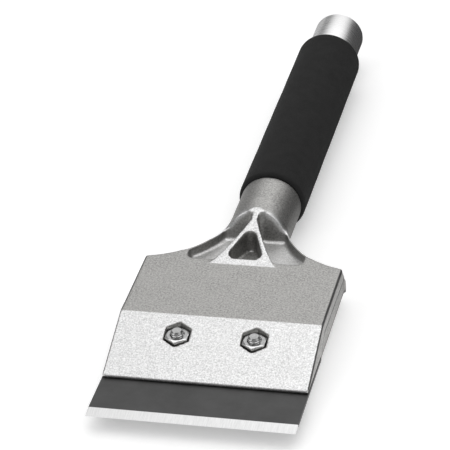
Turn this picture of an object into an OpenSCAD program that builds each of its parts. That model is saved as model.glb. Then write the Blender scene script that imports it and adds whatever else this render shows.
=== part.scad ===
// Hand floor scraper: a cast head that clamps a wide replaceable blade, on a straight
// tubular handle with a foam grip. Tool coordinates: Y runs from the cutting edge (0) back
// along the handle, X across the blade, and Z = 0 is the blade's upper face.

/* [Blade] */
// Width of the blade and of the head above it
blade_w = 101.6; // [90:0.1:120]
// Length of the blade from its edge to its rear
blade_l = 60; // [58:0.5:60]
// Thickness of the blade
blade_t = 1.6; // [1.2:0.1:1.8]
// Length of the bevel ground on each side of the edge
bevel_l = 6.3; // [4:0.1:9]

/* [Head] */
// Distance from the cutting edge to the front of the head
front_y = 29.9; // [28:0.1:32]
// Thickness of the head at its front edge
front_h = 1.7; // [1.5:0.05:2.5]
// Distance from the cutting edge to the crease above the bolts
crease_y = 67.9; // [66:0.1:72]
// Slope of the machined front facet
facet_slope = 17.1; // [16:0.1:17.5]
// Distance from the cutting edge to the rear corners
rear_y = 116.7; // [114:0.1:118]
// Radius of the concave flares that lead to the handle socket
flare_r = 44; // [43:0.5:45]

/* [Clamp] */
// Distance between the two clamping bolts
bolt_pitch = 38.4; // [34:0.1:44]
// Distance from the cutting edge to the bolts
bolt_y = 56.4; // [54:0.1:57]
// Thread diameter of the clamping bolts
bolt_d = 6.35; // [6:0.01:6.5]
// Width across flats of the nuts and bolt heads
hex_af = 11.11; // [10.5:0.01:11.5]
// Width across flats of the nut pockets
pocket_af = 12.5; // [12:0.1:13.4]
// Thickness of the clamp plate under the blade
clamp_t = 3; // [2.5:0.1:3]

/* [Handle] */
// Height of the handle's axis above the blade's upper face
axis_z = 7.65; // [7:0.05:8]
// Outer diameter of the handle tube
tube_d = 28.5; // [27.5:0.1:29]
// Wall thickness of the handle tube
tube_wall = 2; // [1.5:0.1:3]
// Depth turned off the tube's bare end
end_cut = 0.25; // [0.2:0.05:0.5]
// Outer diameter of the cast socket
socket_d = 31.8; // [31.4:0.1:33]
// Distance from the cutting edge to the end of the socket
socket_end_y = 181.6; // [178:0.1:186]
// Outer diameter of the foam grip
grip_d = 35.5; // [34:0.1:38]
// Length of the foam grip
grip_l = 152.4; // [120:0.1:160]
// Distance from the cutting edge to the far end of the tube
total_l = 364.5; // [355:0.1:370]

/* [Hidden] */
$fn = 96;

far = 60;                      // reach of the solids that cut and trim
jaw_gap = 0.05;                // clearance between the blade and each jaw
seam_gap = 0.3;                // clearance between the head and the clamp plate behind the blade
pin_fit = 0.075;               // radial clearance of a bolt in its nut and in the clamp plate

// head: side profile
top_z = front_h + (crease_y - front_y) * tan(facet_slope);
jaw_z = jaw_gap;
rear_lean = 0.62;              // run of the leaning rear face for each unit of height
step_y = 62.6;                 // foot of the step behind the blade
step_top = [70.4, 5.8];        // top of that step
seam_rear_z = 4.15;            // height of the seam at the rear
function rear_face_y(z) = rear_y + (top_z - z) * rear_lean;

// head: socket, flares and pockets
socket_r = socket_d / 2;
web_half_h = top_z - axis_z;   // the web's height above and below the handle's axis
web_end_half_w = sqrt(pow(socket_r, 2) - pow(web_half_h, 2)) - 0.1;
flare_x = web_end_half_w + flare_r;  // centre of each flare's arc
flare_y = 160.5;
rim_t = 1.3;                   // wall left between a side pocket and its flare
pocket_floor_z = 8;
pocket_front_y = 118.3;
pocket_half_w = 29.6;
pocket_corner_r = 3.2;
arch_foot_y = 144.3;           // foot of the socket's leaning front face
arch_lean = 0.338;             // run of that face for each unit of height
keel_front_y = 127;            // where the socket's underside leaves the head
keel_low_y = 140;
tube_front_y = 153;            // end of the tube inside the socket

// head: ribs in the shape of an A
rib_front_y = 114;
rib_slope = 14.9;
rib_base_half = 17.1;
rib_neck_y = 144.5;
rib_neck_half = 1.9;
rib_rear_y = 152;
rib_side_r = 150;              // radius of the rib's concave sides
window_r = 3.2;                // corner radius of the window in the rib
window_floor_z = 7.5;
window_corners = [[-4.9, 121.6], [4.9, 121.6], [0, 133]];

// fasteners
nut_seat_z = 4.2;
nut_h = 5.56;
chamfer_angle = 30;            // of the hexagons' chamfered corners
bolt_len = 18.3;
bolt_head_h = 3.97;
washer_t = 1.4;
washer_r = 5.4;
bolt_clear_r = bolt_d / 2 + 0.325;
clamp_low_z = -blade_t - jaw_gap - clamp_t;
bolt_head_z = clamp_low_z - washer_t - 0.05;

// clamp plate
clamp_front_y = 30.5;
clamp_inset = 1;               // how far its sides stand in from the head's
lip_front_y = 121.8;
lip_rear_y = 123.3;
core_depth = 4;                // depth of the two recesses cored from below
core_r = 4;

// handle
socket_r_in = tube_d / 2 + 0.02;
grip_gap = 0.2;
bare_y = socket_end_y + grip_gap + grip_l + 0.4;  // where the turned bare end starts
end_r = tube_d / 2 - end_cut;
pin_y = 168;
pin_r = 2;
pin_len = 8;
plug_l = 12;
plug_inset = 0.6;

// ---------------------------------------------------------------- helpers

// puts tool coordinates on the part's own: centred in Y, lowest point of the grip at Z = 0
module placed() {
    translate([0, -total_l / 2, grip_d / 2 - axis_z]) children();
}

// extrudes a side profile, given as [y, z] points, across X
module across(width) {
    rotate([90, 0, 90]) linear_extrude(width, center = true) children();
}

// runs a shape drawn round Z along the handle's axis, from y onwards
module along_handle(y) {
    translate([0, y, axis_z]) rotate([-90, 0, 0]) children();
}

// repeats a shape on both sides of the tool
module both_sides() {
    children();
    mirror([1, 0, 0]) children();
}

// outline of three corner circles and the straight sides between them
module rounded_triangle(corners, r) {
    polygon([
        for (i = [0:2])
            let (a = corners[i], b = corners[(i + 1) % 3], d = (b - a) / norm(b - a), out = [d[1], -d[0]] * r)
            each [a + out, b + out]
    ]);
    for (c = corners) translate(c) circle(r);
}

// upright hexagonal prism with two corners facing along Y
module hexagon(af, h) {
    rotate([0, 0, 90]) cylinder(r = af / sqrt(3), h = h, $fn = 6);
}

// ---------------------------------------------------------------- head

module head_slab() {
    across(blade_w) polygon([
        [front_y, jaw_z],
        [front_y, front_h],
        [crease_y, top_z],
        [rear_y, top_z],
        [rear_face_y(seam_rear_z), seam_rear_z],
        step_top,
        [step_y, jaw_z]
    ]);
}

// the horn-shaped web that narrows from the slab to the socket
module flare_web() {
    module outline() {
        difference() {
            translate([-blade_w / 2, crease_y + 30]) square([blade_w, flare_y - crease_y - 30]);
            for (side = [-1, 1]) translate([side * flare_x, flare_y]) circle(flare_r, $fn = 180);
        }
    }
    translate([0, 0, step_top[1]]) linear_extrude(top_z - step_top[1]) outline();
    intersection() {
        translate([0, 0, axis_z - web_half_h]) linear_extrude(2 * web_half_h) outline();
        translate([-far, keel_front_y, 0]) cube([2 * far, far, far]);
    }
}

// side profile of the socket: a leaning arch in front and a keel that rises to the slab
module socket() {
    intersection() {
        along_handle(keel_front_y) cylinder(r = socket_r, h = socket_end_y - keel_front_y, $fn = 180);
        across(2 * far) polygon([
            [keel_front_y, axis_z - web_half_h],
            [keel_low_y, axis_z - socket_r],
            [keel_low_y, -far],
            [socket_end_y, -far],
            [socket_end_y, far],
            [arch_foot_y + (far - pocket_floor_z) * arch_lean, far],
            [arch_foot_y, pocket_floor_z],
            [keel_front_y, pocket_floor_z]
        ]);
    }
}

// one side pocket, open upwards and bounded behind by the arch
module side_pocket() {
    intersection() {
        translate([0, 0, pocket_floor_z]) linear_extrude(far) difference() {
            union() {
                translate([0, pocket_front_y + pocket_corner_r]) square([pocket_half_w, far]);
                translate([0, pocket_front_y]) square([pocket_half_w - pocket_corner_r, far]);
                translate([pocket_half_w - pocket_corner_r, pocket_front_y + pocket_corner_r])
                    circle(pocket_corner_r);
            }
            translate([flare_x, flare_y]) circle(flare_r + rim_t, $fn = 180);
        }
        across(2 * far) polygon([
            [crease_y, pocket_floor_z],
            [arch_foot_y, pocket_floor_z],
            [arch_foot_y + far * arch_lean, pocket_floor_z + far],
            [crease_y, pocket_floor_z + far]
        ]);
    }
}

// the A-shaped rib, its top ground flat from the slab up to the crown of the socket
module rib() {
    chord = [rib_neck_half - rib_base_half, rib_neck_y - rib_front_y];
    mid = [(rib_neck_half + rib_base_half) / 2, (rib_neck_y + rib_front_y) / 2];
    out = [chord[1], -chord[0]] / norm(chord);
    centre = mid + out * sqrt(pow(rib_side_r, 2) - pow(norm(chord) / 2, 2));
    intersection() {
        translate([0, 0, pocket_floor_z - 1]) linear_extrude(far) difference() {
            polygon([
                [-rib_base_half, rib_front_y],
                [rib_base_half, rib_front_y],
                [rib_neck_half, rib_neck_y],
                [rib_neck_half, rib_rear_y],
                [-rib_neck_half, rib_rear_y],
                [-rib_neck_half, rib_neck_y]
            ]);
            intersection() {
                both_sides() translate(centre) circle(rib_side_r, $fn = 360);
                translate([-far, rib_front_y]) square([2 * far, rib_neck_y - rib_front_y]);
            }
        }
        translate([-far, rib_front_y, 0]) cube([2 * far, rib_rear_y - rib_front_y, far]);
    }
}

// everything above the plane that the rib and the crown of the socket are ground to
module ground_away() {
    across(2 * far) polygon([
        [rib_front_y, top_z],
        [rib_front_y + far, top_z + far * tan(rib_slope)],
        [rib_front_y + far, 2 * far],
        [rib_front_y, 2 * far]
    ]);
}

module head_casting() {
    color("gainsboro") placed() difference() {
        union() {
            difference() {
                union() {
                    head_slab();
                    flare_web();
                    socket();
                }
                both_sides() side_pocket();
            }
            rib();
        }
        ground_away();
        translate([0, 0, window_floor_z]) linear_extrude(far) rounded_triangle(window_corners, window_r);
        along_handle(tube_front_y) cylinder(r = socket_r_in, h = far);
        for (side = [-1, 1]) translate([side * bolt_pitch / 2, bolt_y, 0]) {
            translate([0, 0, -1]) cylinder(r = bolt_clear_r, h = far);
            translate([0, 0, nut_seat_z]) hexagon(pocket_af, far);
        }
        pin_bore();
    }
}

// ---------------------------------------------------------------- clamp

module clamp_profile() {
    slope = (step_top[1] - jaw_z) / (step_top[0] - step_y);
    jaw_top = -blade_t - jaw_gap;
    polygon([
        [clamp_front_y, jaw_top],
        [step_y + (jaw_top - jaw_z + seam_gap) / slope, jaw_top],
        [step_top[0], step_top[1] - seam_gap],
        [rear_face_y(seam_rear_z - seam_gap), seam_rear_z - seam_gap],
        [lip_rear_y, 0],
        [lip_rear_y, clamp_low_z],
        [clamp_front_y + 2 * clamp_t / 3, clamp_low_z],
        [clamp_front_y, clamp_low_z + clamp_t / 2]
    ]);
}

module core_recess() {
    x = [7, blade_w / 2 - 8];
    y = [73, 113];
    translate([0, 0, clamp_low_z - 1]) linear_extrude(core_depth + 1) {
        translate([x[0] + core_r, y[0]]) square([x[1] - x[0] - 2 * core_r, y[1] - y[0]]);
        translate([x[0], y[0] + core_r]) square([x[1] - x[0], y[1] - y[0] - 2 * core_r]);
        for (cx = [x[0] + core_r, x[1] - core_r], cy = [y[0] + core_r, y[1] - core_r])
            translate([cx, cy]) circle(core_r);
    }
}

module clamp_plate() {
    color("darkgray") placed() difference() {
        union() {
            across(blade_w - 2 * clamp_inset) clamp_profile();
            intersection() {
                across(blade_w) clamp_profile();
                translate([-far, lip_front_y, -far]) cube([2 * far, far, 2 * far]);
            }
        }
        both_sides() core_recess();
        for (side = [-1, 1]) translate([side * bolt_pitch / 2, bolt_y, -far / 2])
            cylinder(r = bolt_d / 2 + pin_fit, h = far);
    }
}

// ---------------------------------------------------------------- blade

module blade() {
    slot_r = bolt_d / 2 + 0.45;
    slot_end_y = bolt_y - 5;
    color("dimgray") placed() difference() {
        across(blade_w) polygon([
            [0, -blade_t / 2],
            [bevel_l, 0],
            [blade_l, 0],
            [blade_l, -blade_t],
            [bevel_l, -blade_t]
        ]);
        for (side = [-1, 1]) translate([side * bolt_pitch / 2, slot_end_y, -far / 2]) {
            cylinder(r = slot_r, h = far);
            translate([-slot_r, 0, 0]) cube([2 * slot_r, far, far]);
        }
    }
}

// ---------------------------------------------------------------- fasteners

// hexagonal prism whose upper corners, and lower ones too if asked, are chamfered round
module chamfered_hexagon(h, below) {
    flat = hex_af / 2 * 0.97;
    reach = hex_af / sqrt(3) + 0.2;
    drop = (reach - flat) * tan(chamfer_angle);
    intersection() {
        hexagon(hex_af, h);
        rotate_extrude() polygon([
            [0, 0],
            [below ? flat : reach, 0],
            [reach, below ? drop : 0.01],
            [reach, h - drop],
            [flat, h],
            [0, h]
        ]);
    }
}

module clamp_bolt(side) {
    tip_chamfer = 0.9;
    color("silver") placed() translate([side * bolt_pitch / 2, bolt_y, bolt_head_z]) {
        mirror([0, 0, 1]) chamfered_hexagon(bolt_head_h, false);
        cylinder(r = bolt_d / 2, h = bolt_len - tip_chamfer);
        translate([0, 0, bolt_len - tip_chamfer])
            cylinder(r1 = bolt_d / 2, r2 = bolt_d / 2 - tip_chamfer, h = tip_chamfer);
    }
}

module clamp_nut(side) {
    color("silver") placed() translate([side * bolt_pitch / 2, bolt_y, nut_seat_z]) difference() {
        chamfered_hexagon(nut_h, true);
        translate([0, 0, -1]) cylinder(r = bolt_d / 2 + pin_fit, h = nut_h + 2);
    }
}

module lock_washer(side) {
    slit_w = 0.9;
    slit_lean = 25;
    color("slategray") placed() translate([side * bolt_pitch / 2, bolt_y, clamp_low_z - washer_t]) difference() {
        cylinder(r = washer_r, h = washer_t);
        translate([0, 0, -1]) cylinder(r = bolt_clear_r, h = washer_t + 2);
        rotate([0, 0, side * 35]) translate([washer_r / 2 + 1, 0, washer_t / 2]) rotate([slit_lean, 0, 0])
            cube([washer_r + 2, slit_w, 4 * washer_t], center = true);
    }
}

// ---------------------------------------------------------------- handle

// hole or pin that locks the tube in the socket, entering from below
module pin_bore() {
    translate([0, pin_y, axis_z - socket_r - 0.5]) cylinder(r = pin_r, h = pin_len + 0.5);
}

module handle_tube() {
    rim = 0.6;
    color("lightgray") placed() difference() {
        union() {
            along_handle(tube_front_y) cylinder(r = tube_d / 2, h = bare_y - tube_front_y, $fn = 180);
            along_handle(tube_front_y) cylinder(r = end_r, h = total_l - rim - tube_front_y, $fn = 180);
            along_handle(total_l - rim) cylinder(r1 = end_r, r2 = end_r - rim, h = rim, $fn = 180);
        }
        along_handle(tube_front_y - 1) cylinder(r = tube_d / 2 - tube_wall, h = total_l);
        pin_bore();
    }
}

module end_plug() {
    plug_r = tube_d / 2 - tube_wall;
    dome = 1;
    color("black") placed() {
        along_handle(total_l - plug_inset - dome - plug_l) cylinder(r = plug_r, h = plug_l);
        along_handle(total_l - plug_inset - dome) cylinder(r1 = plug_r, r2 = plug_r - 2 * dome, h = dome);
    }
}

module foam_grip() {
    inner = tube_d / 2;
    outer = grip_d / 2;
    edge_r = 1.2;
    color([0.15, 0.15, 0.15]) placed() along_handle(socket_end_y + grip_gap) rotate_extrude($fn = 180) {
        translate([inner, 0]) square([outer - inner - edge_r, grip_l]);
        translate([inner, edge_r]) square([outer - inner, grip_l - 2 * edge_r]);
        for (y = [edge_r, grip_l - edge_r]) translate([outer - edge_r, y]) circle(edge_r, $fn = 32);
    }
}

module tube_pin() {
    color("slategray") placed() translate([0, pin_y, axis_z - socket_r + 0.3])
        cylinder(r = pin_r, h = pin_len - 0.3);
}

head_casting();
clamp_plate();
blade();
clamp_bolt(-1);  // clamp_bolt_left
clamp_bolt(1);  // clamp_bolt_right
clamp_nut(-1);  // clamp_nut_left
clamp_nut(1);  // clamp_nut_right
lock_washer(-1);  // lock_washer_left
lock_washer(1);  // lock_washer_right
handle_tube();
end_plug();
foam_grip();
tube_pin();
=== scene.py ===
"""Looks of the hand floor scraper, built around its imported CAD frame. Lengths are in metres."""

import math
from typing import NamedTuple

import bmesh
import bpy
import numpy as np
from mathutils import Matrix, Vector


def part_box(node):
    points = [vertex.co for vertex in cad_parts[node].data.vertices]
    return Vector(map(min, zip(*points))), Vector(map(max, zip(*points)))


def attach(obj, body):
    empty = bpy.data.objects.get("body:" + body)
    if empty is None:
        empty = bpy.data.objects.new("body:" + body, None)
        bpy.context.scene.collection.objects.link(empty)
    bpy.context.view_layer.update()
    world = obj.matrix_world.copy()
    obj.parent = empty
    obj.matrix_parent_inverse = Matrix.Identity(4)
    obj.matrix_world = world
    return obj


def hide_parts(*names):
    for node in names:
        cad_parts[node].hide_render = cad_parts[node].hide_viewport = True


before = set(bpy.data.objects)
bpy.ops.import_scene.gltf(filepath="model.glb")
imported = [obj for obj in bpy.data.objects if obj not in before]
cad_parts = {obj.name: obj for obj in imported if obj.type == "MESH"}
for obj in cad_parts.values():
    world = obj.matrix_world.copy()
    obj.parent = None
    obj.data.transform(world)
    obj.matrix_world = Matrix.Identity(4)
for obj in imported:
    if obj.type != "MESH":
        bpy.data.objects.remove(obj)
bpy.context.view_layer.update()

MM = 0.001

# ---------------------------------------------------------------- places worked out from the frame

BLADE_LOW, BLADE_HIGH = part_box("blade")
GRIP_LOW, GRIP_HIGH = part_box("foam_grip")
TUBE_LOW, TUBE_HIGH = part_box("handle_tube")
PLUG_LOW, PLUG_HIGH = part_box("end_plug")

AXIS_Z = (GRIP_LOW.z + GRIP_HIGH.z) / 2
EDGE_Y = BLADE_LOW.y
BLADE_TOP = BLADE_HIGH.z
GRIP_R = (GRIP_HIGH.x - GRIP_LOW.x) / 2
TUBE_R = (TUBE_HIGH.x - TUBE_LOW.x) / 2
PLUG_R = (PLUG_HIGH.x - PLUG_LOW.x) / 2

# ---------------------------------------------------------------- sizes that the frame doesn't give

# the head: Y is the distance from the cutting edge, and Z the height above the blade
FACET_SLOPE = math.radians(17.1)
RIB_SLOPE = math.radians(14.9)
FRONT_Y = 29.9 * MM
CREASE_Y = 67.9 * MM
RIB_FRONT_Y = 114 * MM
TOP_Z = 13.39 * MM                            # the rear plane
SEAM_Y = (62.6 * MM, 70.4 * MM, 122.5 * MM)   # corners of the head's lower side edge
SEAM_Z = (0.05 * MM, 5.8 * MM, 4.15 * MM)
POCKET_FLOOR_Z = 8 * MM
BEVEL_L = 6.3 * MM                            # length of the blade's bevel
HEAD_VOXEL = 0.45 * MM
CLAMP_VOXEL = 0.5 * MM

# the fasteners
BOLT_R = 3.175 * MM
BOLT_HEAD_H = 3.97 * MM
BORE_PLAY = 0.08 * MM
BORE_SINK = 0.45 * MM
THREAD_PITCH = 1.27 * MM
THREAD_DEPTH = 0.55 * MM
TIP_CHAMFER = 0.9 * MM
HEX_AF = 11.11 * MM
HEX_CHAMFER = math.radians(30)
HEX_SEGMENTS = 96
FLAT_SHARE = 0.93                             # the chamfers' inner circle, against the flats


# ---------------------------------------------------------------- helpers for meshes

def new_object(name, vertices, faces):
    """A smoothly shaded object made of these vertices and faces, linked to the scene."""
    mesh = bpy.data.meshes.new(name)
    mesh.from_pydata([tuple(v) for v in vertices], [], faces)
    mesh.validate()
    mesh.polygons.foreach_set("use_smooth", [True] * len(mesh.polygons))
    made = bpy.data.objects.new(name, mesh)
    bpy.context.scene.collection.objects.link(made)
    return made


def stand_in(piece, node, body):
    """piece replaces a CAD node and moves with its body."""
    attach(piece, body)
    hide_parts(node)
    return piece


def apply_modifiers(obj):
    """Replaces obj's mesh with the evaluated one."""
    graph = bpy.context.evaluated_depsgraph_get()
    made = bpy.data.meshes.new_from_object(obj.evaluated_get(graph))
    old = obj.data
    obj.modifiers.clear()
    obj.data = made
    bpy.data.meshes.remove(old)


def copy_of(node, name):
    """A free copy of a CAD node's mesh, with its doubled vertices welded."""
    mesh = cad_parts[node].data.copy()
    mesh.name = name
    mesh.materials.clear()
    made = bpy.data.objects.new(name, mesh)
    bpy.context.scene.collection.objects.link(made)
    work = bmesh.new()
    work.from_mesh(mesh)
    bmesh.ops.remove_doubles(work, verts=work.verts, dist=0.002 * MM)
    bmesh.ops.recalc_face_normals(work, faces=work.faces)
    work.to_mesh(mesh)
    work.free()
    return made


def ring_faces(rows, segments, closed):
    """Faces between successive rings of vertices, and back to the first ring if closed."""
    faces = []
    for i in range(rows if closed else rows - 1):
        j = (i + 1) % rows
        for k in range(segments):
            n = (k + 1) % segments
            faces.append((i * segments + k, i * segments + n, j * segments + n, j * segments + k))
    return faces


def lathe(name, outline, segments):
    """Turns a closed outline of (radius, y) points round the handle's axis."""
    vertices = []
    for r, y in outline:
        for k in range(segments):
            a = 2 * math.pi * k / segments
            vertices.append((r * math.cos(a), y, AXIS_Z + r * math.sin(a)))
    made = new_object(name, vertices, ring_faces(len(outline), segments, True))
    fix_normals(made)
    return made


def fix_normals(obj):
    """Turns all the faces of a closed mesh outwards."""
    work = bmesh.new()
    work.from_mesh(obj.data)
    bmesh.ops.recalc_face_normals(work, faces=work.faces)
    work.to_mesh(obj.data)
    work.free()


def arc(cx, cy, r, start, end, steps):
    """Points on an arc, the angles in degrees."""
    return [
        (cx + r * math.cos(math.radians(start + (end - start) * i / steps)),
         cy + r * math.sin(math.radians(start + (end - start) * i / steps)))
        for i in range(steps + 1)
    ]


# ---------------------------------------------------------------- helpers for materials

class Shader:
    """A material's node tree with short calls for the nodes that this script uses."""

    def __init__(self, name):
        self.material = bpy.data.materials.new(name)
        self.material.use_nodes = True
        self.tree = self.material.node_tree
        self.surface = self.tree.nodes["Principled BSDF"]
        self.place = self.node("ShaderNodeTexCoord").outputs["Object"]

    def node(self, kind, **values):
        made = self.tree.nodes.new(kind)
        for key, value in values.items():
            setattr(made, key, value)
        return made

    def link(self, source, target):
        self.tree.links.new(source, target)

    def stretch(self, scale):
        """Object coordinates scaled along each axis."""
        made = self.node("ShaderNodeMapping")
        made.inputs["Scale"].default_value = scale
        self.link(self.place, made.inputs["Vector"])
        return made.outputs["Vector"]

    def noise(self, size, detail=4.0, rough=0.5, where=None):
        """Noise whose largest features are about size metres across."""
        made = self.node("ShaderNodeTexNoise")
        made.inputs["Scale"].default_value = 1 / size
        made.inputs["Detail"].default_value = detail
        made.inputs["Roughness"].default_value = rough
        self.link(where or self.place, made.inputs["Vector"])
        return made.outputs["Fac"]

    def cells(self, size, where=None):
        """Distance to the nearest of many scattered points about size metres apart."""
        made = self.node("ShaderNodeTexVoronoi")
        made.inputs["Scale"].default_value = 1 / size
        self.link(where or self.place, made.inputs["Vector"])
        return made.outputs["Distance"]

    def span(self, source, low, high, to_low, to_high):
        """Maps source from low..high to to_low..to_high, clamped."""
        made = self.node("ShaderNodeMapRange")
        limits = {"From Min": low, "From Max": high, "To Min": to_low, "To Max": to_high}
        for key, value in limits.items():
            made.inputs[key].default_value = value
        self.link(source, made.inputs["Value"])
        return made.outputs["Result"]

    def maths(self, operation, a, b):
        """A sum, product and so on of sockets or numbers."""
        made = self.node("ShaderNodeMath", operation=operation)
        for socket, value in zip(made.inputs, (a, b)):
            if isinstance(value, (int, float)):
                socket.default_value = value
            else:
                self.link(value, socket)
        return made.outputs[0]

    def mix_value(self, share, a, b):
        """a where share is 0 and b where it is 1."""
        made = self.node("ShaderNodeMix", data_type="FLOAT")
        for index, value in ((0, share), (2, a), (3, b)):
            if isinstance(value, (int, float)):
                made.inputs[index].default_value = value
            else:
                self.link(value, made.inputs[index])
        return made.outputs[0]

    def mix_colour(self, share, a, b):
        """Colour a where share is 0 and b where it is 1."""
        made = self.node("ShaderNodeMix", data_type="RGBA")
        for index, value in ((0, share), (6, a), (7, b)):
            if isinstance(value, (int, float)):
                made.inputs[index].default_value = value
            elif isinstance(value, tuple):
                made.inputs[index].default_value = (*value, 1)
            else:
                self.link(value, made.inputs[index])
        return made.outputs[2]

    def mottled(self, noise, dark, light, low=0.3, high=0.7):
        """A grey between dark and light, by noise that mostly lies between low and high."""
        return self.mix_colour(self.span(noise, low, high, 0, 1), grey(dark), grey(light))

    def attribute(self, name):
        """The value that a mesh's vertices carry under this name."""
        made = self.node("ShaderNodeAttribute", attribute_name=name)
        return made.outputs["Fac"]

    def set(self, **values):
        """Sets the surface's sockets; an underscore in a name stands for a space."""
        for key, value in values.items():
            socket = self.surface.inputs[key.replace("_", " ")]
            if isinstance(value, (int, float)):
                socket.default_value = value
            elif isinstance(value, tuple):
                socket.default_value = (*value, 1)
            else:
                self.link(value, socket)

    def bump(self, height, depth):
        """Relief whose height of 1 stands depth metres proud."""
        made = self.node("ShaderNodeBump")
        made.inputs["Distance"].default_value = depth
        self.link(height, made.inputs["Height"])
        self.link(made.outputs["Normal"], self.surface.inputs["Normal"])


def grey(level):
    """A neutral colour of this brightness."""
    return (level, level, level)


def cast_skin(level):
    """The slightly warm grey of cast aluminium."""
    return (level, level * 0.988, level * 0.963)


# ---------------------------------------------------------------- materials

def casting_material(name, level):
    """Sand-cast aluminium. The mesh's "ground" marks the ground flats, and also paints highlights on edges,
    fillets and floors that would catch the light; its other attribute paints shade on the pockets' walls and
    along the sides' edges."""
    s = Shader(name)
    ground = s.attribute("ground")
    painted_shade = s.attribute("painted_shade")
    grain = s.noise(0.9 * MM, detail=6, rough=0.65)
    blotch = s.noise(9 * MM, detail=3)
    specks = s.noise(0.8 * MM, detail=4, rough=0.75)
    cast = s.mix_colour(s.span(grain, 0.36, 0.64, 0, 1), cast_skin(level * 0.6), cast_skin(level * 1.25))
    cast = s.mix_colour(s.span(blotch, 0.3, 0.7, 0, 0.35), cast, cast_skin(level * 1.12))
    # painted shade: the cast turns almost black where the mesh's shade attribute is high
    cast = s.mix_colour(painted_shade, cast, grey(level * 0.12))
    bright = s.mottled(specks, 0.49, 0.82, 0.36, 0.62)
    cast_rough = s.span(grain, 0.3, 0.7, 0.52, 0.42)
    ground_rough = s.span(specks, 0.35, 0.65, 0.42, 0.3)
    s.set(
        # the ground flats' bright colour, which also paints highlights on the marked edges, fillets and
        # floors
        Base_Color=s.mix_colour(ground, cast, bright),
        Metallic=1.0,
        Roughness=s.mix_value(ground, cast_rough, ground_rough),
    )
    s.bump(s.mix_value(ground, grain, specks), 0.12 * MM)
    return s.material


def blade_material():
    """Dark spring steel; the bevel's bright grind lines run square to the edge."""
    s = Shader("blade_steel")
    along = s.node("ShaderNodeSeparateXYZ")
    s.link(s.place, along.inputs[0])
    bevel = s.span(along.outputs["Y"], EDGE_Y + BEVEL_L - 0.1 * MM, EDGE_Y + BEVEL_L + 0.1 * MM, 1, 0)
    lines = s.noise(0.3 * MM, detail=3, rough=0.6, where=s.stretch((1, 0.05, 0.05)))
    mottle = s.noise(14 * MM, detail=5, rough=0.6)
    s.set(
        Base_Color=s.mix_colour(bevel, s.mottled(mottle, 0.076, 0.104), s.mottled(lines, 0.64, 0.78)),
        Metallic=1.0,
        Roughness=s.mix_value(bevel, s.span(mottle, 0.3, 0.7, 0.42, 0.5), 0.3),
    )
    s.bump(lines, 0.008 * MM)
    return s.material


def plated_material():
    """Zinc-plated fasteners, with a painted highlight in light grey on the edges that the mesh marks."""
    s = Shader("zinc_steel")
    mottle = s.noise(1.5 * MM, detail=4)
    s.set(
        # painted highlight on the marked chamfers and thread crests
        Base_Color=s.mix_colour(s.attribute("painted_highlight"), s.mottled(mottle, 0.35, 0.48), grey(0.85)),
        Metallic=1.0,
        Roughness=s.span(mottle, 0.3, 0.7, 0.18, 0.3),
    )
    s.bump(mottle, 0.03 * MM)
    return s.material


def dark_steel_material():
    """Plain dark steel of the lock washers and the tube's pin."""
    s = Shader("spring_steel")
    mottle = s.noise(1.2 * MM, detail=4)
    s.set(
        Base_Color=s.mottled(mottle, 0.2, 0.33),
        Metallic=1.0,
        Roughness=s.span(mottle, 0.3, 0.7, 0.32, 0.45),
    )
    s.bump(mottle, 0.03 * MM)
    return s.material


def tube_material():
    """Bright tube with fine turning marks round it."""
    s = Shader("turned_tube")
    rings = s.noise(0.35 * MM, detail=3, rough=0.6, where=s.stretch((0.02, 1, 0.02)))
    s.set(
        Base_Color=s.mottled(rings, 0.84, 1.0),
        Metallic=1.0,
        Roughness=s.span(rings, 0.3, 0.7, 0.22, 0.34),
    )
    s.bump(rings, 0.03 * MM)
    return s.material


def plastic_material():
    """Moulded black plastic of the plug."""
    s = Shader("black_plastic")
    grain = s.noise(0.8 * MM, detail=3)
    s.set(
        Base_Color=s.mottled(grain, 0.018, 0.03),
        Roughness=s.span(grain, 0.3, 0.7, 0.45, 0.6),
    )
    s.bump(grain, 0.05 * MM)
    return s.material


def foam_material():
    """Matt closed-cell foam with a skin of tiny pores."""
    s = Shader("foam")
    pores = s.cells(0.55 * MM)
    lumps = s.noise(6 * MM, detail=4)
    s.set(
        Base_Color=s.mottled(lumps, 0.016, 0.021),
        Roughness=s.span(pores, 0.1, 0.6, 0.95, 0.8),
        Specular_IOR_Level=0.2,
        Sheen_Weight=0.02,
        Sheen_Roughness=0.5,
    )
    s.bump(pores, 0.12 * MM)
    return s.material


# ---------------------------------------------------------------- head and clamp plate

SMOOTH_STEP = 0.5


def smooth_vertices(mesh, share, passes):
    """Moves each vertex towards its neighbours' mean, by its share (0 to 1) of SMOOTH_STEP a pass."""
    count = len(mesh.vertices)
    place = np.zeros(count * 3)
    mesh.vertices.foreach_get("co", place)
    place = place.reshape(-1, 3)
    edges = np.zeros(len(mesh.edges) * 2, np.int32)
    mesh.edges.foreach_get("vertices", edges)
    a, b = edges.reshape(-1, 2).T
    degree = np.maximum(np.bincount(a, minlength=count) + np.bincount(b, minlength=count), 1)
    for _ in range(passes):
        total = np.stack([
            np.bincount(a, weights=place[b, i], minlength=count)
            + np.bincount(b, weights=place[a, i], minlength=count)
            for i in range(3)
        ], axis=1)
        place += (total / degree[:, None] - place) * (share * SMOOTH_STEP)[:, None]
    mesh.vertices.foreach_set("co", place.ravel())
    mesh.update()


def vertex_arrays(mesh):
    """The vertices' places and normals, one row each."""
    count = len(mesh.vertices)
    place, normal = np.zeros(count * 3), np.zeros(count * 3)
    mesh.vertices.foreach_get("co", place)
    mesh.vertices.foreach_get("normal", normal)
    return place.reshape(-1, 3), normal.reshape(-1, 3)


def set_attribute(mesh, name, values):
    """Stores one number for each vertex under this name."""
    made = mesh.attributes.new(name, "FLOAT", "POINT")
    made.data.foreach_set("value", values.astype(np.float32))


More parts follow.
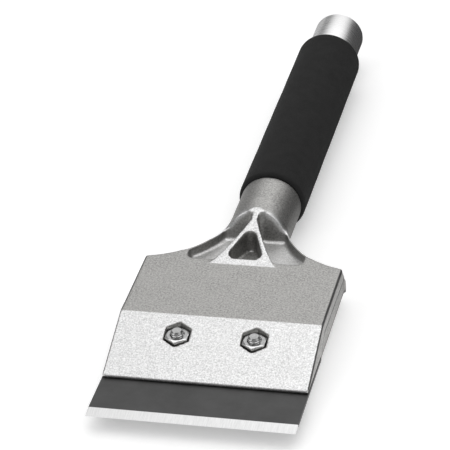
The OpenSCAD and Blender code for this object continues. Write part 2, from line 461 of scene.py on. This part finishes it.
def remeshed_copy(node, name, voxel):
    """A copy of a CAD node as an even mesh with edges broken at about one voxel."""
    made = copy_of(node, name)
    even = made.modifiers.new("even", "REMESH")
    even.mode = "VOXEL"
    even.voxel_size = voxel
    even.use_smooth_shade = True
    apply_modifiers(made)
    return made


def ramp(values, low, high):
    """0 at low and below, 1 at high and above, and straight between them."""
    return np.clip((values - low) / (high - low), 0, 1)


def soften(mesh, weight, passes):
    """Smooths the mesh, each vertex by its own weight from 0 to 1."""
    smooth_vertices(mesh, np.clip(weight, 0, 1), passes)


def facing(normal, slope):
    """1 where the surface is within 8 degrees of a plane that rises backwards at this slope, 0 past 13."""
    upright = np.array([0, -math.sin(slope), math.cos(slope)])
    return ramp(normal @ upright, 0.975, 0.99)


def seam_height(y):
    """Height above the blade of the head's lower side edge, at y from the cutting edge."""
    return np.interp(y, SEAM_Y, SEAM_Z)


def top_height(y):
    """Height above the blade of the facet or the rear plane, at y from the cutting edge."""
    return TOP_Z - math.tan(FACET_SLOPE) * np.maximum(CREASE_Y - y, 0)


def bend(mesh):
    """How far each vertex stands out from the mean place around it: below 0 in a hollow."""
    place, normal = vertex_arrays(mesh)
    relaxed = mesh.copy()
    soften(relaxed, np.ones(len(place)), 8)
    around, _ = vertex_arrays(relaxed)
    bpy.data.meshes.remove(relaxed)
    return ((place - around) * normal).sum(axis=1)


def head_zones(x, y, z, normal):
    """For each of the head's zones by name, the share from 0 to 1 of each vertex that lies in it."""
    flat_margin = 0.3 * MM
    facet = facing(normal, FACET_SLOPE) * (y < CREASE_Y + flat_margin) * (z > 1 * MM)
    rib_top = facing(normal, RIB_SLOPE) * (y > RIB_FRONT_Y - flat_margin)
    pockets = (y > 117 * MM) & (y < 160 * MM) & (z > POCKET_FLOOR_Z / 2) & (x < 33 * MM)
    rib_half_w = 12 * MM - 0.35 * (y - 118 * MM)
    along_arch = ramp(y, 136 * MM, 141 * MM) * ramp(-y, -160 * MM, -156 * MM)
    return {
        "ground": np.maximum(facet, rib_top),
        "pockets": pockets,
        "beside_rib": pockets & (x > rib_half_w),
        "arch": along_arch * ramp(z, 7 * MM, 9 * MM),
        "outer": ramp(x, 49.2 * MM, 49.8 * MM),
        "rear": ramp(y, 72 * MM, 76 * MM),
    }


# how many passes soften each zone's cast edges, in the order in which they are done
ZONE_PASSES = {"outer": 8, "rear": 6, "pockets": 14, "arch": 36}
CORNER_PASSES = 40


def soften_head(mesh, zones, x):
    """Rounds the cast edges, most of all along the arch and at the foot of the pockets' walls."""
    cast = 1 - zones["ground"]
    soften(mesh, cast, 2)
    for zone, passes in ZONE_PASSES.items():
        soften(mesh, cast * zones[zone], passes)
    inside_corner = ramp(-bend(mesh), 0.02 * MM, 0.06 * MM)
    near_rib = 1 - 0.7 * ramp(x, 14 * MM, 18 * MM)
    soften(mesh, inside_corner * zones["beside_rib"] * near_rib, CORNER_PASSES)


def ground_and_highlight_marks(mesh, zones, y, z):
    """How bright each vertex is: the ground flats, and painted highlights on the front edge, the arch's
    ridges, the pockets' floors and the feet of their walls."""
    _, normal = vertex_arrays(mesh)
    bent = bend(mesh)
    ridge = ramp(bent, 0.01 * MM, 0.035 * MM) * zones["arch"]
    low_wall = zones["beside_rib"] * (z < POCKET_FLOOR_Z + 5 * MM) * (y < 151 * MM)
    foot = ramp(-bent, 0.03 * MM, 0.09 * MM) * low_wall
    front = (normal[:, 1] < -0.5) * (y < FRONT_Y + 1 * MM) * ramp(z, 0.5 * MM, 0.9 * MM)
    floor = 0.5 * zones["beside_rib"] * ramp(normal[:, 2], 0.93, 0.98) * (z < POCKET_FLOOR_Z + 1.5 * MM)
    # painted highlight: ridges and fillets that would catch the light, and the front edge lightened out of
    # its shade
    painted_highlight = np.maximum(0.9 * np.maximum(ridge, foot), np.maximum(front, floor))
    return np.maximum(zones["ground"], painted_highlight)


def painted_shade_marks(mesh, zones, x, y, z):
    """How much painted shade each vertex gets: on the pockets' walls, a painted shadow in the seam along the
    sides' lower edge, and a dark line along their upper edge.
    """
    _, normal = vertex_arrays(mesh)
    steep = 1 - ramp(normal[:, 2], 0.55, 0.9)
    inner = ramp(-z, -(TOP_Z + 8 * MM), -(TOP_Z + 2 * MM))
    hollow = zones["pockets"] & (y > 118 * MM) & (y < 151 * MM) & (z > 6 * MM) & (z < 25 * MM)
    # painted shade on the pockets' steep walls
    hollow_shade = 0.12 * hollow * steep * np.maximum(inner, zones["arch"])
    side = (x > 50 * MM) * (y > FRONT_Y + 1.1 * MM)
    # painted shadow of the gap between head and clamp plate
    seam = side * (y > SEAM_Y[0] - 0.6 * MM) * ramp(seam_height(y) - z, -2.8 * MM, -1.8 * MM)
    # painted shade: a dark line just below the top edge of each side
    edge = 0.8 * side * ramp(z - top_height(y), -1.7 * MM, -1.1 * MM)
    return np.maximum(hollow_shade, np.maximum(seam, edge))


def make_head(material):
    """The casting: an even mesh with soft cast edges, and crisp edges round the ground flats."""
    head = remeshed_copy("head_casting", "head_cast", HEAD_VOXEL)
    place, normal = vertex_arrays(head.data)
    x = np.abs(place[:, 0])
    y = place[:, 1] - EDGE_Y
    z = place[:, 2] - BLADE_TOP
    zones = head_zones(x, y, z, normal)
    soften_head(head.data, zones, x)
    # ground flats plus painted highlights, then painted shade in the pockets and along the sides
    set_attribute(head.data, "ground", ground_and_highlight_marks(head.data, zones, y, z))
    set_attribute(head.data, "painted_shade", painted_shade_marks(head.data, zones, x, y, z))
    head.data.materials.append(material)
    return stand_in(head, "head_casting", "frame")


def make_clamp(material):
    """The lower jaw: a plain casting with painted shade in a band along its sides, just below the blade."""
    clamp = remeshed_copy("clamp_plate", "clamp_cast", CLAMP_VOXEL)
    place, _ = vertex_arrays(clamp.data)
    z = place[:, 2] - BLADE_TOP
    soften(clamp.data, np.ones(len(z)), 3)
    soften(clamp.data, ramp(-z, 0, 3 * MM), 6)
    # painted shade under the blade's overhang
    below_blade = ramp(-z, 2.2 * MM, 2.6 * MM) * ramp(z, -4.2 * MM, -3.8 * MM)
    set_attribute(clamp.data, "ground", np.zeros(len(z)))
    set_attribute(clamp.data, "painted_shade", 0.5 * below_blade)
    clamp.data.materials.append(material)
    return stand_in(clamp, "clamp_plate", "clamp")


# ---------------------------------------------------------------- fasteners

def crisp(obj, angle):
    """Shades edges sharper than angle (degrees) as edges."""
    obj.data.set_sharp_from_angle(angle=math.radians(angle))


def hexagon_radius(a):
    """Distance from the middle of a nut's hexagon to its side at angle a, with two corners along Y."""
    turn = (a + math.pi / 6) % (math.pi / 3) - math.pi / 6
    return HEX_AF / 2 / math.cos(turn)


def hexagon_rows(z0, z1, chamfer_low, chamfer_high):
    """Rows of (z, greatest radius) up a hexagon whose corners are turned off where asked."""
    flat = HEX_AF / 2 * FLAT_SHARE
    reach = HEX_AF / math.sqrt(3) + 0.01 * MM
    drop = (reach - flat) * math.tan(HEX_CHAMFER)
    steps = 6
    turned = [(drop * i / steps, flat + (reach - flat) * i / steps) for i in range(steps)]
    low = [(z0 + depth, r) for depth, r in turned]
    high = [(z1 - depth, r) for depth, r in reversed(turned)]
    rows = low if chamfer_low else [(z0, reach)]
    rows += [(z1 - drop, reach)] if chamfer_high else [(z1, reach)]
    return rows + (high if chamfer_high else [])


def turned_rows(rows, centre, radius_at):
    """Vertices of the rows, one ring each."""
    vertices = []
    for row in rows:
        for k in range(HEX_SEGMENTS):
            a = 2 * math.pi * k / HEX_SEGMENTS
            r = radius_at(row, a)
            vertices.append((centre[0] + r * math.cos(a), centre[1] + r * math.sin(a), row[0]))
    return vertices


def mark_highlight(fastener, low, high, inner, centre):
    """Marks the vertices between two heights, and farther out than inner, for a painted highlight."""
    place, _ = vertex_arrays(fastener.data)
    out = np.hypot(place[:, 0] - centre[0], place[:, 1] - centre[1])
    z = place[:, 2]
    set_attribute(fastener.data, "painted_highlight", (z > low) & (z < high) & (out > inner))


def make_nut(side_name, material):
    """A hexagon nut, chamfered on both faces, with a countersunk bore."""
    node = f"clamp_nut_{side_name}"
    low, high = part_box(node)
    centre = ((low.x + high.x) / 2, (low.y + high.y) / 2)
    bore = BOLT_R + BORE_PLAY
    outside = [(z, r, True) for z, r in hexagon_rows(low.z, high.z, True, True)]
    inside = [
        (high.z, bore + BORE_SINK, False),
        (high.z - BORE_SINK, bore, False),
        (low.z + BORE_SINK, bore, False),
        (low.z, bore + BORE_SINK, False),
    ]
    rows = outside + inside

    def radius_at(row, a):
        return min(row[1], hexagon_radius(a)) if row[2] else row[1]

    vertices = turned_rows(rows, centre, radius_at)
    nut = new_object(f"nut_{side_name}", vertices, ring_faces(len(rows), HEX_SEGMENTS, True))
    fix_normals(nut)
    crisp(nut, 24)
    # painted highlight round the top chamfer
    mark_highlight(nut, high.z - 1.2 * MM, high.z - 0.1 * MM, HEX_AF / 2 * (FLAT_SHARE + 0.01), centre)
    nut.data.materials.append(material)
    return stand_in(nut, node, "frame")


def make_bolt(side_name, material):
    """A bolt with a helical thread and a chamfered hexagon head, head down."""
    node = f"clamp_bolt_{side_name}"
    low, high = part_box(node)
    centre = ((low.x + high.x) / 2, (low.y + high.y) / 2)
    head_top = low.z + BOLT_HEAD_H
    rows_per_turn = 14
    count = int((high.z - head_top) / THREAD_PITCH * rows_per_turn)
    head_rows = [(z, r, True) for z, r in hexagon_rows(low.z, head_top, True, False)]
    thread_rows = [(head_top + (high.z - head_top) * i / count, BOLT_R, False) for i in range(count + 1)]
    rows = head_rows + thread_rows

    def radius_at(row, a):
        z, r, is_hexagon = row
        if is_hexagon:
            return min(r, hexagon_radius(a))
        phase = ((z - head_top) / THREAD_PITCH - a / (2 * math.pi)) % 1
        flank = 1.35 - 3.2 * abs(phase - 0.5)   # above 1 along the root, below 0 along the crest
        groove = THREAD_DEPTH * min(1, max(0, flank))
        tip = max(0, z - (high.z - TIP_CHAMFER))
        return min(r - groove, r - tip)

    vertices = turned_rows(rows, centre, radius_at)
    faces = ring_faces(len(rows), HEX_SEGMENTS, False)
    faces.append(tuple(range(HEX_SEGMENTS)))
    faces.append(tuple((len(rows) - 1) * HEX_SEGMENTS + k for k in range(HEX_SEGMENTS)))
    bolt = new_object(f"bolt_{side_name}", vertices, faces)
    fix_normals(bolt)
    crisp(bolt, 30)
    # painted highlight on the thread's crests
    mark_highlight(bolt, head_top, high.z - 0.05 * MM, BOLT_R - 0.15 * MM, centre)
    bolt.data.materials.append(material)
    return stand_in(bolt, node, f"bolt_{side_name}")


def make_pin(material):
    """The slotted spring pin under the socket."""
    low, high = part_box("tube_pin")
    r = (high.x - low.x) / 2
    wall = 0.7 * MM
    chamfer = 0.35 * MM
    slot = 26               # degrees left open
    section = [
        (r - wall, low.z), (r - chamfer, low.z), (r, low.z + chamfer),
        (r, high.z - chamfer), (r - chamfer, high.z), (r - wall, high.z),
    ]
    steps = 48
    vertices, faces = [], []
    for i in range(steps + 1):
        a = math.radians(slot / 2 + (360 - slot) * i / steps)
        for radius, z in section:
            vertices.append((radius * math.cos(a), (low.y + high.y) / 2 + radius * math.sin(a), z))
    n = len(section)
    for i in range(steps):
        for k in range(n):
            m = (k + 1) % n
            faces.append((i * n + k, i * n + m, (i + 1) * n + m, (i + 1) * n + k))
    faces.append(tuple(range(n)))
    faces.append(tuple(steps * n + k for k in range(n)))
    pin = new_object("spring_pin", vertices, faces)
    fix_normals(pin)
    crisp(pin, 30)
    pin.data.materials.append(material)
    return stand_in(pin, "tube_pin", "frame")


# ---------------------------------------------------------------- handle

def make_grip(material):
    """The foam sleeve: rounded ends, and a surface that isn't perfectly even."""
    inner = TUBE_R + 0.02 * MM
    front_r, rear_r = 2.2 * MM, 1.4 * MM
    y0, y1 = GRIP_LOW.y, GRIP_HIGH.y
    outline = [(inner, y0), (GRIP_R - front_r, y0)]
    outline += arc(GRIP_R - front_r, y0 + front_r, front_r, -90, 0, 6)[1:]
    steps = 70
    outline += [
        (GRIP_R, y0 + front_r + (y1 - rear_r - y0 - front_r) * i / steps) for i in range(1, steps)
    ]
    outline += arc(GRIP_R - rear_r, y1 - rear_r, rear_r, 0, 90, 6)
    outline += [(inner, y1)]
    grip = lathe("foam_sleeve", outline, 144)
    place, _ = vertex_arrays(grip.data)
    out = place - np.array([0, 0, AXIS_Z])
    out[:, 1] = 0
    distance = np.linalg.norm(out, axis=1)
    turn = np.arctan2(out[:, 2], out[:, 0])
    slow, fast = 95 * place[:, 1], 210 * place[:, 1]
    wave = np.sin(slow + 2 * np.sin(turn)) + np.sin(fast + 3 * turn)
    inward = (wave / 2 - 1) * 0.06 * MM * (distance > inner + 1 * MM)
    place += out / distance[:, None] * inward[:, None]
    grip.data.vertices.foreach_set("co", place.ravel())
    grip.data.update()
    grip.data.materials.append(material)
    stand_in(grip, "foam_grip", "frame")
    return grip


def make_tube(material):
    """The handle tube, turned a little smaller where it is bare, with a broken edge at its end."""
    wall = 2 * MM
    edge = 0.5 * MM
    cut = 0.25 * MM
    y0, y1 = TUBE_LOW.y, TUBE_HIGH.y
    bare_y = GRIP_HIGH.y + 0.4 * MM
    bare_r = TUBE_R - cut
    outline = [(TUBE_R - wall, y0), (TUBE_R, y0), (TUBE_R, bare_y), (bare_r, bare_y + cut)]
    outline += [(bare_r, y1 - edge)]
    outline += arc(bare_r - edge, y1 - edge, edge, 20, 90, 5)
    outline += [(TUBE_R - wall + 0.3 * MM, y1), (TUBE_R - wall, y1 - 0.3 * MM)]
    tube = lathe("tube_turned", outline, 160)
    crisp(tube, 35)
    tube.data.materials.append(material)
    return stand_in(tube, "handle_tube", "frame")


def make_plug(material):
    """The moulded plug: a skirt with gripping ridges, and a dished cap with a rounded edge."""
    y0, y1 = PLUG_LOW.y, PLUG_HIGH.y
    r = PLUG_R
    wall = 1.6 * MM
    cap = 2 * MM
    rim = 1.2 * MM
    middle = 0.02 * MM      # the outline stops just short of the axis
    outline = [(r - wall, y0), (r - 0.5 * MM, y0)]
    ridges = 3
    length = (y1 - cap - y0) / ridges
    for i in range(ridges):
        start = y0 + i * length
        outline += [(r, start + 0.45 * length), (r, start + 0.9 * length), (r - 0.4 * MM, start + length)]
    outline += [(r, y1 - cap + 0.2 * MM)]
    outline += arc(r - rim, y1 - rim, rim, 0, 90, 6)
    outline += [(r - 2.6 * MM, y1), (r - 3.4 * MM, y1 - 0.5 * MM), (middle, y1 - 0.8 * MM)]
    outline += [(middle, y1 - cap), (r - wall, y1 - cap)]
    plug = lathe("plug_moulded", outline, 96)
    crisp(plug, 40)
    plug.data.materials.append(material)
    return stand_in(plug, "end_plug", "frame")


# ---------------------------------------------------------------- studio

CAMERA_AT = Vector((0.2850, -1.09235, 0.7270))
CAMERA_FORWARD = Vector((-0.23107, 0.81046, -0.53829))
CAMERA_RIGHT = Vector((0.9707, 0.22955, -0.07106))
FOCAL_SHARE = 5.665   # focal length as a share of the picture's width
SENSOR = 36.0
FLOOR_HALF = 6
FLOOR_GLOW = 0.35
FLAG_Y = (-0.09, 0.06)     # where the flag's front edge starts and ends its fade, along Y
FLAG_X = (-0.005, 0.01)    # the same between its weaker left part and its right part, along X
LEFT_FLAG = 0.55           # strength of the left part


def make_camera():
    """A long lens, above and a little to the right of the blade."""
    data = bpy.data.cameras.new("camera")
    data.sensor_width = SENSOR
    data.lens = FOCAL_SHARE * SENSOR
    data.clip_start, data.clip_end = 0.05, 50
    made = bpy.data.objects.new("camera", data)
    back = -CAMERA_FORWARD.normalized()
    up = back.cross(CAMERA_RIGHT).normalized()
    right = up.cross(back)
    made.matrix_world = Matrix.Translation(CAMERA_AT) @ Matrix((right, up, back)).transposed().to_4x4()
    bpy.context.scene.collection.objects.link(made)
    bpy.context.scene.camera = made
    return made


def area_light(name, at, target, size, power):
    """A rectangular light at one point that shines towards another."""
    data = bpy.data.lights.new(name, "AREA")
    data.shape = "RECTANGLE"
    data.size, data.size_y = size
    data.energy = power
    made = bpy.data.objects.new(name, data)
    at, target = Vector(at), Vector(target)
    turn = (target - at).to_track_quat("-Z", "Y").to_matrix().to_4x4()
    made.matrix_world = Matrix.Translation(at) @ turn
    bpy.context.scene.collection.objects.link(made)
    return made


def towards(azimuth, elevation):
    """Unit vector; azimuth 0 is +Y and 90 is +X, in degrees."""
    a, e = math.radians(azimuth), math.radians(elevation)
    return Vector((math.sin(a) * math.cos(e), math.cos(a) * math.cos(e), math.sin(e)))


class SoftLight(NamedTuple):
    """A soft round patch of light in the surroundings, with its angles in degrees."""

    azimuth: float
    elevation: float
    full_within: float
    gone_beyond: float
    strength: float


SOFT_LIGHTS = (
    # beyond the handle, away from the camera: the level flats mirror it
    SoftLight(azimuth=2, elevation=42, full_within=10, gone_beyond=40, strength=1.1),
    # low on the left, along the socket and the tube
    SoftLight(azimuth=-52, elevation=8, full_within=10, gone_beyond=45, strength=0.16),
    # overhead: the sloping facet and the fillets mirror it
    SoftLight(azimuth=40, elevation=84, full_within=10, gone_beyond=36, strength=1.5),
    # on the right, for the ridges that face that way
    SoftLight(azimuth=100, elevation=46, full_within=8, gone_beyond=28, strength=0.8),
    # behind the camera
    SoftLight(azimuth=180, elevation=12, full_within=10, gone_beyond=70, strength=0.30),
)
AMBIENT = 0.10


def make_world():
    """Surroundings lit by a few soft round patches, dark between them."""
    world = bpy.data.worlds.new("studio")
    world.use_nodes = True
    tree = world.node_tree
    place = tree.nodes.new("ShaderNodeTexCoord")
    total = None
    for light in SOFT_LIGHTS:
        dot = tree.nodes.new("ShaderNodeVectorMath")
        dot.operation = "DOT_PRODUCT"
        dot.inputs[1].default_value = towards(light.azimuth, light.elevation)
        tree.links.new(place.outputs["Generated"], dot.inputs[0])
        fade = tree.nodes.new("ShaderNodeMapRange")
        fade.interpolation_type = "SMOOTHSTEP"
        fade.inputs["From Min"].default_value = math.cos(math.radians(light.gone_beyond))
        fade.inputs["From Max"].default_value = math.cos(math.radians(light.full_within))
        fade.inputs["To Max"].default_value = light.strength
        tree.links.new(dot.outputs["Value"], fade.inputs["Value"])
        add = tree.nodes.new("ShaderNodeMath")
        add.operation = "ADD"
        add.inputs[1].default_value = AMBIENT   # counts once, for the first light
        tree.links.new(fade.outputs["Result"], add.inputs[0])
        if total:
            tree.links.new(total, add.inputs[1])
        total = add.outputs[0]
    tree.links.new(total, tree.nodes["Background"].inputs["Strength"])
    tree.nodes["Background"].inputs["Color"].default_value = (1.0, 1.0, 1.0, 1.0)
    bpy.context.scene.world = world


def make_studio():
    """A pale floor and one large lamp. Metal sees the floor behind the head darkened, as by a black flag."""
    corners = ((-1, -1), (1, -1), (1, 1), (-1, 1))
    floor = new_object("floor", [(FLOOR_HALF * x, FLOOR_HALF * y, 0) for x, y in corners], [(0, 1, 2, 3)])
    s = Shader("floor_white")
    mottle = s.noise(0.4, detail=2)
    s.set(
        Base_Color=s.mix_colour(mottle, grey(0.90), grey(0.93)),
        Roughness=0.9,
        Specular_IOR_Level=0.1,
        Emission_Color=(1.0, 1.0, 1.0),
        Emission_Strength=FLOOR_GLOW,
    )
    split = s.node("ShaderNodeSeparateXYZ")
    s.link(s.place, split.inputs[0])
    paths = s.node("ShaderNodeLightPath")
    behind = s.span(split.outputs["Y"], *FLAG_Y, 0, 1)
    side = s.span(split.outputs["X"], *FLAG_X, LEFT_FLAG, 1)
    flag = s.maths("MULTIPLY", s.maths("MULTIPLY", behind, side), paths.outputs["Is Glossy Ray"])
    dark = s.node("ShaderNodeBsdfDiffuse")
    dark.inputs["Color"].default_value = (*grey(0.08), 1)
    blend = s.node("ShaderNodeMixShader")
    s.link(flag, blend.inputs[0])
    s.link(s.surface.outputs[0], blend.inputs[1])
    s.link(dark.outputs[0], blend.inputs[2])
    s.link(blend.outputs[0], s.tree.nodes["Material Output"].inputs["Surface"])
    floor.data.materials.append(s.material)
    area_light("overhead", at=(-1.3, -0.5, 1.6), target=(0, 0, 0), size=(1.4, 1.4), power=8)
    bpy.context.scene.view_settings.view_transform = "Standard"


# ---------------------------------------------------------------- the whole object

def dress(node, material):
    """Gives a CAD node that keeps its own shape a material."""
    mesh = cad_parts[node].data
    mesh.materials.clear()
    mesh.materials.append(material)


make_camera()
make_world()
make_studio()

zinc = plated_material()
dark_steel = dark_steel_material()

make_head(casting_material("cast_head", level=0.45))
make_clamp(casting_material("cast_clamp", level=0.42))
dress("blade", blade_material())
for side_name in ("left", "right"):
    make_nut(side_name, zinc)
    make_bolt(side_name, zinc)
    dress(f"lock_washer_{side_name}", dark_steel)
make_tube(tube_material())
make_grip(foam_material())
make_plug(plastic_material())
make_pin(dark_steel)
